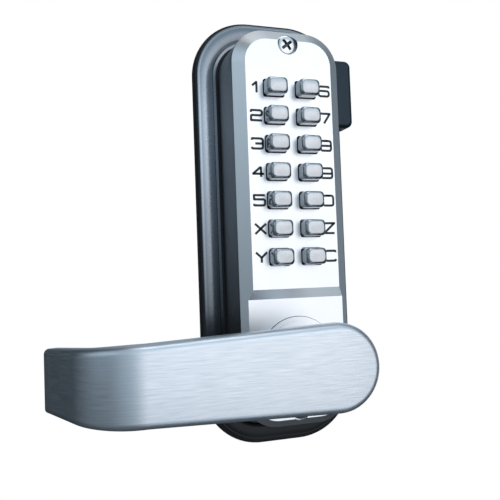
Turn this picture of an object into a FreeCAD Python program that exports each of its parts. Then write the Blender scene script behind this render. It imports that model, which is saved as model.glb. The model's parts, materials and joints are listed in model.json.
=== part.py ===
import FreeCAD, Part
import Sketcher
import math
import os

# Mechanical keypad door lock, outside unit with lever handle. Millimetres.
# +Z is up, the door's surface is the plane y = 0 and the lock stands in front of it, towards -Y.
# The origin is where the lever's axis meets the door. Sizes named *_y are distances in front of
# the door, sizes named *_z and *_x are places along those axes.

SIZES = {
    # case
    "case_half_width": 24.5, "case_top_z": 140.7, "case_bottom_z": -28.7, "case_corner": 15.0,
    "case_front_y": 27.2, "case_back_y": 2.1, "chamfer_width": 4.8, "chamfer_depth": 3.6,
    "side_wall": 2.0, "ceiling_y": 23.2, "lower_face_y": 25.8,
    "slope_top_z": 29.15, "slope_foot_z": 25.05,
    # gasket and base plate, as offsets outside the case outline
    "gasket_offset": 11.7, "plate_offset": 11.2, "frame_offset": 2.46, "seat_offset": 0.44,
    "gasket_front_y": 1.5, "frame_front_y": 3.8, "recess_y": 2.6, "gasket_round": 0.6,
    "frame_outer_round": 1.9, "frame_inner_round": 0.7,
    # keys
    "column_x": 7.32, "first_row_z": 114.6, "row_pitch": 12.0,
    "slot_half_width": 4.92, "slot_half_height": 3.88, "slot_corner": 1.2,
    "key_half_width": 4.62, "key_half_height": 3.48, "key_corner": 1.7,
    "key_front_y": 33.4, "key_edge": 1.4, "flange_front_y": 23.1, "flange_back_y": 21.9,
    "flange_half_width": 5.6, "flange_half_height": 4.45,
    # tumblers and their springs
    "tumbler_half_width": 2.5, "tumbler_half_height": 2.2, "tumbler_back_y": 12.4,
    "notch_depth": 0.9, "notch_front_y": 17.0, "notch_back_y": 14.6, "guide_gap": 0.1,
    "spring_radius": 1.7, "spring_wire": 0.25, "spring_turns": 5.0,
    # code chamber
    "chamber_half_width": 20.0, "chamber_top_z": 121.0, "chamber_bottom_z": 36.4,
    "chamber_front_y": 17.0, "chamber_back_y": 6.0, "cover_back_y": 4.5, "standoff_x": 17.6,
    "standoff_low_z": 40.4, "standoff_high_z": 117.0, "standoff_radius": 2.3,
    "chamber_screw_radius": 1.25, "chamber_head_radius": 2.2, "chamber_head_height": 1.4,
    "pilot_depth": 1.9, "screw_gap": 0.1,
    # code slide
    "slide_half_width": 14.2, "slide_front_y": 18.5, "slide_back_y": 17.3, "slide_top_z": 122.0,
    "slide_bottom_z": 34.0, "window_half_width": 2.8, "window_above": 2.5, "window_below": 6.5,
    "leg_inner_x": 8.0, "leg_outer_x": 13.0, "foot_z": 5.4,
    # lever
    "blade_front_y": 65.2, "blade_thickness": 8.0, "blade_end_radius": 16.6, "blade_end_x": 0.45,
    "bend_start_x": 70.0, "bend_top": 13.5, "bend_bottom": 14.6, "edge_bow": 0.3,
    "bend_radius": 26.0, "bend_angle": 66.0, "crease_x": 93.8, "crease_y": 49.8,
    "crease_top": 12.2, "crease_bottom": 14.0, "blade_tip_x": 103.2, "tip_y": 28.6,
    "tip_top": 10.9, "tip_bottom": 12.8, "blade_round": 2.8, "tip_round": 1.6,
    "neck_radius": 12.5, "neck_back_y": 27.6, "hub_radius": 9.0, "hub_front_y": 45.0,
    "hub_back_y": 19.4, "spigot_radius": 7.5, "spigot_back_y": 12.9, "socket_front_y": 33.0,
    # parts on the lever's axis
    "bush_radius": 12.0, "bush_flange_radius": 15.5, "bush_flange_back_y": 21.7, "running_gap": 0.05,
    "washer_radius": 13.5, "washer_front_y": 21.6, "washer_back_y": 20.8, "circlip_back_y": 19.9,
    "circlip_radius": 11.0, "groove_radius": 8.2, "circlip_gap_half": 2.0,
    "cam_radius": 12.0, "cam_front_y": 16.9, "cam_back_y": 12.9, "cam_hub_radius": 7.8,
    "cam_hub_back_y": 7.0, "drive_pin_x": 9.5, "drive_pin_radius": 1.8, "drive_pin_front_y": 18.6,
    "spindle_half": 4.0, "spindle_gap": 0.05, "spindle_front_y": 32.0, "spindle_reach": 45.0,
    "spindle_edge": 0.5, "torsion_radius": 9.4, "torsion_wire": 0.6, "torsion_turns": 3.25,
    "torsion_front_y": 12.0, "torsion_back_y": 7.4, "torsion_leg": 7.0,
    "grub_radius": 2.4, "grub_y": 36.0, "grub_tip_z": 9.0, "grub_end_z": 12.2,
    "grub_socket_radius": 1.2, "grub_socket_depth": 1.2,
    "rose_radius": 17.2, "rose_step_radius": 15.3, "rose_inner_radius": 9.5,
    "rose_step_y": 26.25, "rose_front_y": 26.65,
    # fastenings
    "post_top_z": 134.4, "post_bottom_z": -21.9, "post_radius": 4.0, "post_front_y": 23.2,
    "post_reach": 12.0, "post_flange_radius": 4.25, "post_flange_front_y": 4.1, "thread_radius": 2.1,
    "thread_depth": 14.0, "post_hole_gap": 0.15, "recess_radius": 4.65, "seat_top_y": 24.6,
    "seat_bottom_y": 24.1, "face_screw_radius": 1.9, "face_screw_end_y": 14.0, "face_head_radius": 4.1,
    "face_head_height": 1.9, "face_head_round": 1.1,
    "cross_half_width": 0.45, "cross_half_length": 1.9, "cross_depth": 1.1,
    # block at the top of the lock edge
    "block_inner_x": 27.4, "block_outer_x": 39.8, "block_front_y": 9.2, "block_step_y": 4.0,
    "block_leg_x": 36.5, "block_bottom_z": 104.0, "block_top_z": 136.1, "block_corner": 3.0,
    "block_edge": 1.1,
    # how far an outline that only trims reaches past what it cuts
    "overcut": 1.0,
}

# Lengths closer than this count as equal when edges are picked.
TOUCHING = 0.01

LEFT_LABELS = ["1", "2", "3", "4", "5", "x", "y"]
RIGHT_LABELS = ["6", "7", "8", "9", "0", "z", "c"]

document = FreeCAD.newDocument("KeypadLock")
sheet = document.addObject("Spreadsheet::Sheet", "Sizes")
for row, (alias, size) in enumerate(SIZES.items(), start=1):
    sheet.set(f"A{row}", str(size))
    sheet.setAlias(f"A{row}", alias)
document.recompute()


# ---- sums of named sizes --------------------------------------------------------------------

def number(words):
    """The value of a sum of named sizes and plain numbers, such as "case_top_z - side_wall"."""
    total = 0.0
    sign = 1.0
    for word in words.split():
        if word in ("+", "-"):
            sign = 1.0 if word == "+" else -1.0
        else:
            total += sign * (SIZES[word] if word in SIZES else float(word))
            sign = 1.0
    return total


def bound(words):
    """The same sum as an expression on the spreadsheet."""
    return " ".join("Sizes." + word if word in SIZES else word for word in words.split())


def negative(words):
    """The sum with every sign turned round."""
    turned = {"+": "-", "-": "+"}
    flipped = " ".join(turned.get(word, word) for word in words.split())
    return flipped[2:] if flipped.startswith("+ ") else "- " + flipped


def row_z(index):
    """Height of a row of keys, counted from the top."""
    return "first_row_z" + " - row_pitch" * index


# ---- sketches and features ------------------------------------------------------------------

def new_body(label):
    body = document.addObject("PartDesign::Body", label)
    body.Label = label
    body.AllowCompound = True
    return body


def new_sketch(body, role="XZ_Plane", offset="0"):
    """A sketch on one of the body's origin planes; on XZ_Plane the offset is towards the front."""
    sketch = body.newObject("Sketcher::SketchObject", body.Name + "_sketch")
    support = next(f for f in body.Origin.OriginFeatures if f.Role == role)
    sketch.AttachmentSupport = [(support, "")]
    sketch.MapMode = "FlatFace"
    if offset != "0":
        sketch.setExpression("AttachmentOffset.Base.z", bound(offset))
    return sketch


def constrain(sketch, kind, geometry, point, words):
    """Fixes one coordinate of a sketch point to a sum of sizes."""
    if number(words) == 0:
        axis = -2 if kind == "DistanceX" else -1
        sketch.addConstraint(Sketcher.Constraint("PointOnObject", geometry, point, axis))
        return
    index = sketch.addConstraint(Sketcher.Constraint(kind, -1, 1, geometry, point, number(words)))
    sketch.setExpression(f"Constraints[{index}]", bound(words))


def add_circle(sketch, x, z, radius):
    centre = FreeCAD.Vector(number(x), number(z), 0)
    normal = FreeCAD.Vector(0, 0, 1)
    circle = sketch.addGeometry(Part.Circle(centre, normal, number(radius)))
    constrain(sketch, "DistanceX", circle, 3, x)
    constrain(sketch, "DistanceY", circle, 3, z)
    index = sketch.addConstraint(Sketcher.Constraint("Radius", circle, number(radius)))
    sketch.setExpression(f"Constraints[{index}]", bound(radius))


def add_polygon(sketch, points):
    """A closed outline whose every corner is a pair of sums of sizes."""
    vectors = [FreeCAD.Vector(number(x), number(z), 0) for x, z in points]
    lines = []
    for start, end in zip(vectors, vectors[1:] + vectors[:1]):
        lines.append(sketch.addGeometry(Part.LineSegment(start, end)))
    for line, following in zip(lines, lines[1:] + lines[:1]):
        sketch.addConstraint(Sketcher.Constraint("Coincident", line, 2, following, 1))
    for line, (x, z) in zip(lines, points):
        constrain(sketch, "DistanceX", line, 1, x)
        constrain(sketch, "DistanceY", line, 1, z)


def add_rectangle(sketch, left, right, bottom, top):
    add_polygon(sketch, [(left, bottom), (right, bottom), (right, top), (left, top)])


def pad(body, sketch, length):
    feature = body.newObject("PartDesign::Pad", body.Name + "_pad")
    feature.Profile = sketch
    feature.setExpression("Length", bound(length))
    return feature


def pocket(body, sketch, length, reverse=False):
    """Cuts behind the sketch, or in front of it when reversed, and makes sure that it cut."""
    document.recompute()
    before = body.Tip.Shape.Volume
    feature = body.newObject("PartDesign::Pocket", body.Name + "_pocket")
    feature.Profile = sketch
    feature.setExpression("Length", bound(length))
    feature.Reversed = reverse
    document.recompute()
    assert feature.Shape.Volume < before, f"a pocket of {body.Label} cut nothing"
    return feature


def edges_where(body, test):
    """Names of the edges of the body's last feature that pass a test."""
    document.recompute()
    return [f"Edge{i}" for i, edge in enumerate(body.Tip.Shape.Edges, start=1) if test(edge)]


def fillet(body, test, radius):
    names = edges_where(body, test)
    base = body.Tip
    feature = body.newObject("PartDesign::Fillet", body.Name + "_fillet")
    feature.Base = (base, names)
    feature.setExpression("Radius", bound(radius))
    document.recompute()
    assert feature.isValid(), f"rounding {radius} of {body.Label} failed on {names}"
    return feature


def runs_along_y(edge):
    box = edge.BoundBox
    return box.YLength > TOUCHING and box.XLength < TOUCHING and box.ZLength < TOUCHING


def lies_at_y(edge, words):
    """True for an edge that lies wholly at this distance in front of the door."""
    box = edge.BoundBox
    place = -number(words)
    return abs(box.YMin - place) < TOUCHING and abs(box.YMax - place) < TOUCHING


def case_outline(body, offset, front_y, back_y):
    """A plate with the outline of the case grown by an offset, its corners grown as well."""
    sketch = new_sketch(body, offset=back_y)
    add_rectangle(sketch, negative("case_half_width + " + offset), "case_half_width + " + offset,
                  "case_bottom_z - " + offset, "case_top_z + " + offset)
    pad(body, sketch, f"{front_y} - {back_y}" if back_y != "0" else front_y)
    fillet(body, runs_along_y, "case_corner + " + offset)


def rounded_pocket(body, offset, front_y, length):
    """A pocket with the outline of the case grown by an offset, cut back from front_y."""
    sketch = new_sketch(body, offset=front_y)
    half_width = "case_half_width + " + offset
    outline_with_corners(sketch, negative(half_width), half_width,
                         "case_bottom_z - " + offset, "case_top_z + " + offset, "case_corner + " + offset)
    pocket(body, sketch, length)


def outline_with_corners(sketch, left, right, bottom, top, radius):
    """A rectangle with four equal round corners."""
    x0, x1, z0, z1 = number(left), number(right), number(bottom), number(top)
    r = number(radius)
    normal = FreeCAD.Vector(0, 0, 1)
    sides = [((x0 + r, z0), (x1 - r, z0)), ((x1, z0 + r), (x1, z1 - r)),
             ((x1 - r, z1), (x0 + r, z1)), ((x0, z1 - r), (x0, z0 + r))]
    centres = [(x1 - r, z0 + r, -90), (x1 - r, z1 - r, 0), (x0 + r, z1 - r, 90), (x0 + r, z0 + r, 180)]
    pieces = []
    for (start, end), (cx, cz, first) in zip(sides, centres):
        line = Part.LineSegment(FreeCAD.Vector(*start, 0), FreeCAD.Vector(*end, 0))
        pieces.append(sketch.addGeometry(line))
        circle = Part.Circle(FreeCAD.Vector(cx, cz, 0), normal, r)
        arc = Part.ArcOfCircle(circle, math.radians(first), math.radians(first + 90))
        pieces.append(sketch.addGeometry(arc))
    for piece, following in zip(pieces, pieces[1:] + pieces[:1]):
        sketch.addConstraint(Sketcher.Constraint("Tangent", piece, 2, following, 1))
    for line, kind in zip(pieces[::2], ["Horizontal", "Vertical", "Horizontal", "Vertical"]):
        sketch.addConstraint(Sketcher.Constraint(kind, line))
    for arc in pieces[3::2]:
        sketch.addConstraint(Sketcher.Constraint("Equal", pieces[1], arc))
    index = sketch.addConstraint(Sketcher.Constraint("Radius", pieces[1], r))
    sketch.setExpression(f"Constraints[{index}]", bound(radius))
    for line, kind, words in zip(pieces[::2], ["DistanceY", "DistanceX"] * 2, [bottom, right, top, left]):
        constrain(sketch, kind, line, 1, words)


def revolve(label, points):
    """A ring turned about the lever's axis; points are (radius, distance in front of the door)."""
    body = new_body(label)
    sketch = new_sketch(body, role="XY_Plane")
    add_polygon(sketch, [(radius, negative(y)) for radius, y in points])
    feature = body.newObject("PartDesign::Revolution", label + "_turned")
    feature.Profile = sketch
    feature.ReferenceAxis = (sketch, ["V_Axis"])
    feature.Angle = 360
    return body


# ---- seal, base plate and case --------------------------------------------------------------

POST_HEIGHTS = ["post_top_z", "post_bottom_z"]


def make_door_gasket():
    body = new_body("door_gasket")
    case_outline(body, "gasket_offset", "gasket_front_y", "0")
    fillet(body, lambda edge: lies_at_y(edge, "gasket_front_y"), "gasket_round")
    holes = new_sketch(body, offset="gasket_front_y")
    add_circle(holes, "0", "0", "bush_radius")
    for height in POST_HEIGHTS:
        add_circle(holes, "0", height, "post_radius + post_hole_gap")
    pocket(body, holes, "gasket_front_y")
    return body


def make_base_plate():
    body = new_body("base_plate")
    case_outline(body, "plate_offset", "frame_front_y", "gasket_front_y")
    fillet(body, lambda edge: lies_at_y(edge, "frame_front_y"), "frame_outer_round")
    rounded_pocket(body, "frame_offset", "frame_front_y", "frame_front_y - recess_y")
    fillet(body, is_inside_frame, "frame_inner_round")
    rounded_pocket(body, "seat_offset", "recess_y", "recess_y - case_back_y")
    holes = new_sketch(body, offset="recess_y")
    add_circle(holes, "0", "0", "bush_radius")
    for height in POST_HEIGHTS:
        add_circle(holes, "0", height, "post_radius + post_hole_gap")
    pocket(body, holes, "recess_y - gasket_front_y")
    return body


def is_inside_frame(edge):
    """True for the front edges round the recess, not those on the outside of the plate."""
    box = edge.BoundBox
    half_width = number("case_half_width + frame_offset") + TOUCHING
    below_top = box.ZMax < number("case_top_z + frame_offset") + TOUCHING
    inside = box.XMax < half_width and box.XMin > -half_width and below_top
    return inside and lies_at_y(edge, "frame_front_y")


def make_front_housing():
    body = new_body("front_housing")
    case_outline(body, "0", "case_front_y", "case_back_y")
    front_edges = edges_where(body, lambda edge: lies_at_y(edge, "case_front_y"))
    base = body.Tip
    chamfer = body.newObject("PartDesign::Chamfer", "front_chamfer")
    chamfer.Base = (base, front_edges)
    chamfer.ChamferType = "Two distances"
    chamfer.setExpression("Size", bound("chamfer_depth"))
    chamfer.setExpression("Size2", bound("chamfer_width"))
    document.recompute()
    cut_lower_face(body)
    cavity = new_sketch(body, offset="case_back_y")
    outline_with_corners(cavity, "- case_half_width + side_wall", "case_half_width - side_wall",
                         "case_bottom_z + side_wall", "case_top_z - side_wall", "case_corner - side_wall")
    pocket(body, cavity, "ceiling_y - case_back_y", reverse=True)
    cut_key_slots(body)
    cut_screw_seats(body)
    return body


def cut_lower_face(body):
    """The lower part of the face lies a little deeper, behind a slope under the keys."""
    profile = new_sketch(body, role="YZ_Plane")
    beyond_y = "- case_front_y - overcut"
    beyond_z = "case_bottom_z - overcut"
    add_polygon(profile, [("- case_front_y", "slope_top_z"), ("- lower_face_y", "slope_foot_z"),
                          ("- lower_face_y", beyond_z), (beyond_y, beyond_z), (beyond_y, "slope_top_z")])
    cut = pocket(body, profile, "case_half_width + case_half_width")
    cut.Midplane = True
    document.recompute()


def cut_key_slots(body):
    slots = new_sketch(body, offset="case_front_y")
    for side in ("column_x", "- column_x"):
        for row in range(len(LEFT_LABELS)):
            add_rectangle(slots, side + " - slot_half_width", side + " + slot_half_width",
                          row_z(row) + " - slot_half_height", row_z(row) + " + slot_half_height")
    pocket(body, slots, "case_front_y - ceiling_y")
    fillet(body, is_slot_corner, "slot_corner")


def is_slot_corner(edge):
    """True for the edges that run back into the case at the corners of the key slots."""
    half_width = number("column_x + slot_half_width") + TOUCHING
    bottom = number(row_z(len(LEFT_LABELS) - 1) + " - slot_half_height") - TOUCHING
    top = number("first_row_z + slot_half_height") + TOUCHING
    place = edge.BoundBox.Center
    return runs_along_y(edge) and abs(place.x) < half_width and bottom < place.z < top


def cut_screw_seats(body):
    for height, seat in zip(POST_HEIGHTS, ["seat_top_y", "seat_bottom_y"]):
        recess = new_sketch(body, offset="case_front_y")
        add_circle(recess, "0", height, "recess_radius")
        pocket(body, recess, "case_front_y - " + seat)
    bores = new_sketch(body, offset="case_front_y")
    add_circle(bores, "0", "0", "bush_radius")
    for height in POST_HEIGHTS:
        add_circle(bores, "0", height, "face_screw_radius + screw_gap")
    pocket(body, bores, "case_front_y - ceiling_y")
    pilots = new_sketch(body, offset="ceiling_y")
    for x, z in standoff_places():
        add_circle(pilots, x, z, "chamber_screw_radius + screw_gap")
    pocket(body, pilots, "pilot_depth", reverse=True)


# ---- keys, tumblers and their springs -------------------------------------------------------

def key_places():
    """Label, column and row of every key."""
    for row, (left, right) in enumerate(zip(LEFT_LABELS, RIGHT_LABELS)):
        yield left, "- column_x", row
        yield right, "column_x", row


def place_at(body, column, row):
    body.setExpression("Placement.Base.x", bound(column))
    body.setExpression("Placement.Base.z", bound(row_z(row)))


def make_key(label, column, row):
    """A pillow-shaped key with a flange that stops it behind the face."""
    body = new_body("key_" + label)
    shank = new_sketch(body, offset="flange_front_y")
    add_rectangle(shank, "- key_half_width", "key_half_width", "- key_half_height", "key_half_height")
    pad(body, shank, "key_front_y - flange_front_y")
    fillet(body, runs_along_y, "key_corner")
    fillet(body, lambda edge: lies_at_y(edge, "key_front_y"), "key_edge")
    flange = new_sketch(body, offset="flange_back_y")
    add_rectangle(flange, "- flange_half_width", "flange_half_width",
                  "- flange_half_height", "flange_half_height")
    pad(body, flange, "flange_front_y - flange_back_y")
    place_at(body, column, row)
    return body


def make_tumbler(label, column, row):
    """A notched slider that the key pushes through the code chamber."""
    body = new_body("tumbler_" + label)
    block = new_sketch(body, offset="tumbler_back_y")
    add_rectangle(block, "- tumbler_half_width", "tumbler_half_width",
                  "- tumbler_half_height", "tumbler_half_height")
    pad(body, block, "flange_back_y - tumbler_back_y")
    notch = new_sketch(body, offset="notch_front_y")
    add_rectangle(notch, "tumbler_half_width - notch_depth", "tumbler_half_width",
                  "- tumbler_half_height", "tumbler_half_height")
    pocket(body, notch, "notch_front_y - notch_back_y")
    place_at(body, column, row)
    return body


def coil(radius, wire, turns, length):
    """A helical wire that rises along +Z from z = 0, as one solid."""
    helix = Part.makeHelix(length / turns, length, radius)
    section = Part.Wire(Part.makeCircle(wire, FreeCAD.Vector(radius, 0, 0), FreeCAD.Vector(0, 1, 0)))
    return helix.makePipeShell([section], True, True)


def make_key_springs():
    """One return spring behind each tumbler, as a group of separate solids."""
    wire = sheet.spring_wire
    length = sheet.tumbler_back_y - sheet.chamber_back_y - 2 * wire
    single = coil(sheet.spring_radius, wire, sheet.spring_turns, length)
    springs = []
    for _, column, row in key_places():
        spring = single.copy()
        place = FreeCAD.Vector(number(column), -sheet.chamber_back_y - wire, number(row_z(row)))
        spring.Placement = FreeCAD.Placement(place, FreeCAD.Rotation(FreeCAD.Vector(1, 0, 0), 90))
        springs.append(spring)
    group = document.addObject("Part::Feature", "key_springs")
    group.Shape = Part.makeCompound(springs)
    return group


# ---- code chamber and slide -----------------------------------------------------------------

def standoff_places():
    for x in ("standoff_x", "- standoff_x"):
        for z in ("standoff_low_z", "standoff_high_z"):
            yield x, z


def make_chamber_body():
    body = new_body("chamber_body")
    block = new_sketch(body, offset="chamber_back_y")
    add_rectangle(block, "- chamber_half_width", "chamber_half_width", "chamber_bottom_z", "chamber_top_z")
    pad(body, block, "chamber_front_y - chamber_back_y")
    standoffs = new_sketch(body, offset="chamber_front_y")
    for x, z in standoff_places():
        add_circle(standoffs, x, z, "standoff_radius")
    pad(body, standoffs, "ceiling_y - chamber_front_y")
    guides = new_sketch(body, offset="chamber_front_y")
    wide = "tumbler_half_width + guide_gap"
    tall = "tumbler_half_height + guide_gap"
    for _, column, row in key_places():
        add_rectangle(guides, f"{column} - tumbler_half_width - guide_gap", f"{column} + {wide}",
                      f"{row_z(row)} - tumbler_half_height - guide_gap", f"{row_z(row)} + {tall}")
    pocket(body, guides, "chamber_front_y - chamber_back_y")
    holes = new_sketch(body, offset="ceiling_y")
    for x, z in standoff_places():
        add_circle(holes, x, z, "chamber_screw_radius + screw_gap")
    pocket(body, holes, "ceiling_y - chamber_back_y")
    return body


def make_chamber_cover():
    body = new_body("chamber_cover")
    plate = new_sketch(body, offset="cover_back_y")
    outline_with_corners(plate, "- chamber_half_width", "chamber_half_width",
                         "chamber_bottom_z", "chamber_top_z", "standoff_radius")
    for x, z in standoff_places():
        add_circle(plate, x, z, "chamber_screw_radius + screw_gap")
    pad(body, plate, "chamber_back_y - cover_back_y")
    return body


def make_chamber_screws():
    """Four pan-head screws that hold the chamber to the inside of the case."""
    body = new_body("chamber_screws")
    shanks = new_sketch(body, offset="cover_back_y")
    heads = new_sketch(body, offset="cover_back_y - chamber_head_height")
    for x, z in standoff_places():
        add_circle(shanks, x, z, "chamber_screw_radius")
        add_circle(heads, x, z, "chamber_head_radius")
    pad(body, shanks, "ceiling_y + pilot_depth - screw_gap - cover_back_y")
    pad(body, heads, "chamber_head_height")
    return body


def make_code_slide():
    """The plate that the lever lifts; every tumbler passes through a window in it."""
    body = new_body("code_slide")
    outline = new_sketch(body, offset="slide_back_y")
    add_polygon(outline, [
        ("- slide_half_width", "slide_bottom_z"), ("leg_inner_x", "slide_bottom_z"),
        ("leg_inner_x", "foot_z"), ("leg_outer_x", "foot_z"),
        ("leg_outer_x", "slide_bottom_z"), ("slide_half_width", "slide_bottom_z"),
        ("slide_half_width", "slide_top_z"), ("- slide_half_width", "slide_top_z")])
    for _, column, row in key_places():
        add_rectangle(outline, column + " - window_half_width", column + " + window_half_width",
                      row_z(row) + " - window_below", row_z(row) + " + window_above")
    pad(body, outline, "slide_front_y - slide_back_y")
    return body


# ---- lever and the parts on its axis --------------------------------------------------------

def make_lever_handle():
    """A flat blade bent back towards the door at its free end, on a round neck."""
    body = new_body("lever_handle")
    pad_blade_plan(body)
    trim_blade_height(body)
    fillet(body, is_blade_rim, "blade_round")
    round_blade_end(body)
    neck = new_sketch(body, offset="neck_back_y")
    add_circle(neck, "0", "0", "neck_radius")
    pad(body, neck, "blade_front_y - blade_thickness - neck_back_y + overcut")
    bore = new_sketch(body, offset="neck_back_y")
    add_circle(bore, "0", "0", "hub_radius + running_gap")
    pocket(body, bore, "hub_front_y - neck_back_y", reverse=True)
    grub = new_sketch(body, role="XY_Plane", offset="- neck_radius - overcut")
    add_circle(grub, "0", "- grub_y", "grub_radius + running_gap")
    pocket(body, grub, "neck_radius + overcut - hub_radius", reverse=True)
    return body


def pad_blade_plan(body):
    """The blade seen from above: straight, then an arc, then a straight end."""
    front, thickness = number("blade_front_y"), number("blade_thickness")
    start_x, outer_radius = number("bend_start_x"), number("bend_radius")
    angle, end_x = math.radians(SIZES["bend_angle"]), number("blade_tip_x")
    centre = FreeCAD.Vector(-start_x, -front + outer_radius, 0)
    inner_radius = outer_radius - thickness
    along = FreeCAD.Vector(-math.cos(angle), math.sin(angle), 0)
    outward = FreeCAD.Vector(-math.sin(angle), -math.cos(angle), 0)
    outer_crease = centre + outward * outer_radius
    inner_crease = centre + outward * inner_radius
    run = (outer_crease.x + end_x) / math.cos(angle)
    outer_tip = outer_crease + along * run
    inner_tip = inner_crease + along * run
    right = number("blade_end_x + blade_end_radius + overcut")
    corners = [FreeCAD.Vector(-start_x, -front, 0), FreeCAD.Vector(right, -front, 0),
               FreeCAD.Vector(right, thickness - front, 0), FreeCAD.Vector(-start_x, thickness - front, 0)]
    middle = FreeCAD.Vector(-math.sin(angle / 2), -math.cos(angle / 2), 0)
    sketch = new_sketch(body, role="XY_Plane")
    outline = [
        Part.LineSegment(corners[0], corners[1]), Part.LineSegment(corners[1], corners[2]),
        Part.LineSegment(corners[2], corners[3]),
        Part.Arc(corners[3], centre + middle * inner_radius, inner_crease),
        Part.LineSegment(inner_crease, inner_tip), Part.LineSegment(inner_tip, outer_tip),
        Part.LineSegment(outer_tip, outer_crease),
        Part.Arc(outer_crease, centre + middle * outer_radius, corners[0])]
    sketch.addGeometry(outline)
    feature = pad(body, sketch, "blade_end_radius + blade_end_radius + overcut + overcut")
    feature.Midplane = True
    document.recompute()


def trim_blade_height(body):
    """Cuts away all that lies outside the blade's front view, then tapers the end behind the bend."""
    radius, end_x = number("blade_end_radius"), number("blade_end_x")
    far_x = -number("blade_tip_x + overcut")
    upper = front_edge("bend_top", "crease_top", 1)
    lower = front_edge("bend_bottom", "crease_bottom", -1)
    top, bottom = FreeCAD.Vector(end_x, radius, 0), FreeCAD.Vector(end_x, -radius, 0)
    far_top = FreeCAD.Vector(far_x, upper[-1].y, 0)
    far_bottom = FreeCAD.Vector(far_x, lower[-1].y, 0)
    sketch = new_sketch(body, offset="blade_front_y + overcut")
    sketch.addGeometry([
        Part.Arc(bottom, FreeCAD.Vector(end_x + radius, 0, 0), top),
        Part.LineSegment(top, upper[0]), Part.Arc(*upper), Part.LineSegment(upper[-1], far_top),
        Part.LineSegment(far_top, far_bottom), Part.LineSegment(far_bottom, lower[-1]),
        Part.Arc(*reversed(lower)), Part.LineSegment(lower[0], bottom)])
    beyond_x = "blade_tip_x + overcut + overcut"
    beyond_z = "blade_end_radius + overcut + overcut"
    add_rectangle(sketch, negative(beyond_x), "blade_tip_x", negative(beyond_z), beyond_z)
    pocket(body, sketch, "blade_front_y + overcut")
    taper_return_end(body, "crease_top", "tip_top", 1)
    taper_return_end(body, "crease_bottom", "tip_bottom", -1)


def front_edge(bend_size, crease_size, side):
    """Start, middle and end of the bowed edge round the bend, seen from the front."""
    start = FreeCAD.Vector(-number("bend_start_x"), side * number(bend_size), 0)
    crease = FreeCAD.Vector(-number("crease_x"), side * number(crease_size), 0)
    middle = (start + crease) / 2 + FreeCAD.Vector(0, side * number("edge_bow"), 0)
    return [start, middle, crease]


def taper_return_end(body, crease_size, tip_size, side):
    """Slopes one edge of the straight end towards the blade's middle line, from crease to tip."""
    crease_y, tip_y = -number("crease_y"), -number("tip_y")
    crease_z, tip_z = side * number(crease_size), side * number(tip_size)
    beyond_z = side * number("blade_end_radius")
    slope = (tip_z - crease_z) / (tip_y - crease_y)
    corners = [FreeCAD.Vector(crease_y, crease_z, 0), FreeCAD.Vector(0, crease_z - slope * crease_y, 0),
               FreeCAD.Vector(0, beyond_z, 0), FreeCAD.Vector(crease_y, beyond_z, 0)]
    sketch = new_sketch(body, role="YZ_Plane")
    for start, end in zip(corners, corners[1:] + corners[:1]):
        sketch.addGeometry(Part.LineSegment(start, end))
    pocket(body, sketch, "blade_tip_x + overcut")


def round_blade_end(body):
    """Rounds the edges of the blade's end face."""
    document.recompute()
    angle = math.radians(SIZES["bend_angle"])
    along = FreeCAD.Vector(-math.cos(angle), math.sin(angle), 0)
    reach = max(vertex.Point.dot(along) for vertex in body.Tip.Shape.Vertexes)

    def at_end(edge):
        return all(vertex.Point.dot(along) > reach - TOUCHING for vertex in edge.Vertexes)

    fillet(body, at_end, "tip_round")


def is_blade_rim(edge):
    """True for the rim edges on the outer side of the blade."""
    middle = edge.valueAt((edge.FirstParameter + edge.LastParameter) / 2)
    at_middle_line = abs(middle.z) < TOUCHING and middle.x < 0
    return not at_middle_line and abs(depth_in_blade(middle)) < TOUCHING


def depth_in_blade(point):
    """How far a point lies behind the outer side of the bent blade."""
    radius, angle = number("bend_radius"), math.radians(SIZES["bend_angle"])
    dx = point.x + number("bend_start_x")
    dy = point.y + number("blade_front_y") - radius
    turned = math.atan2(-dx, -dy)
    if dx > 0:
        return dy + radius
    if turned <= angle:
        return radius - math.hypot(dx, dy)
    return radius + dx * math.sin(angle) + dy * math.cos(angle)


def make_lever_hub():
    """The steel shaft inside the neck; its back end carries the cam."""
    body = revolve("lever_hub", [
        ("0", "hub_front_y"), ("hub_radius", "hub_front_y"), ("hub_radius", "washer_back_y"),
        ("groove_radius", "washer_back_y"), ("groove_radius", "circlip_back_y"),
        ("hub_radius", "circlip_back_y"), ("hub_radius", "hub_back_y"), ("spigot_radius", "hub_back_y"),
        ("spigot_radius", "spigot_back_y"), ("0", "spigot_back_y")])
    cut_square_hole(body, "spigot_back_y", "socket_front_y - spigot_back_y")
    return body


def cut_square_hole(body, back_y, depth):
    document.recompute()
    side = "spindle_half + spindle_gap"
    hole = new_sketch(body, offset=back_y)
    add_rectangle(hole, negative(side), side, negative(side), side)
    pocket(body, hole, depth, reverse=True)


def make_lever_bush():
    return revolve("lever_bush", [
        ("hub_radius + running_gap", "lower_face_y"), ("bush_radius", "lower_face_y"),
        ("bush_radius", "ceiling_y"), ("bush_flange_radius", "ceiling_y"),
        ("bush_flange_radius", "bush_flange_back_y"), ("hub_radius + running_gap", "bush_flange_back_y")])


def make_thrust_washer():
    return revolve("thrust_washer", [
        ("hub_radius + running_gap", "washer_front_y"), ("washer_radius", "washer_front_y"),
        ("washer_radius", "washer_back_y"), ("hub_radius + running_gap", "washer_back_y")])


def make_circlip():
    """An open ring in the hub's groove."""
    body = revolve("circlip", [
        ("groove_radius", "washer_back_y"), ("circlip_radius", "washer_back_y"),
        ("circlip_radius", "circlip_back_y"), ("groove_radius", "circlip_back_y")])
    document.recompute()
    mouth = new_sketch(body, offset="washer_back_y")
    add_rectangle(mouth, "- circlip_gap_half", "circlip_gap_half", "- circlip_radius - overcut", "0")
    pocket(body, mouth, "washer_back_y - circlip_back_y")
    return body


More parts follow.
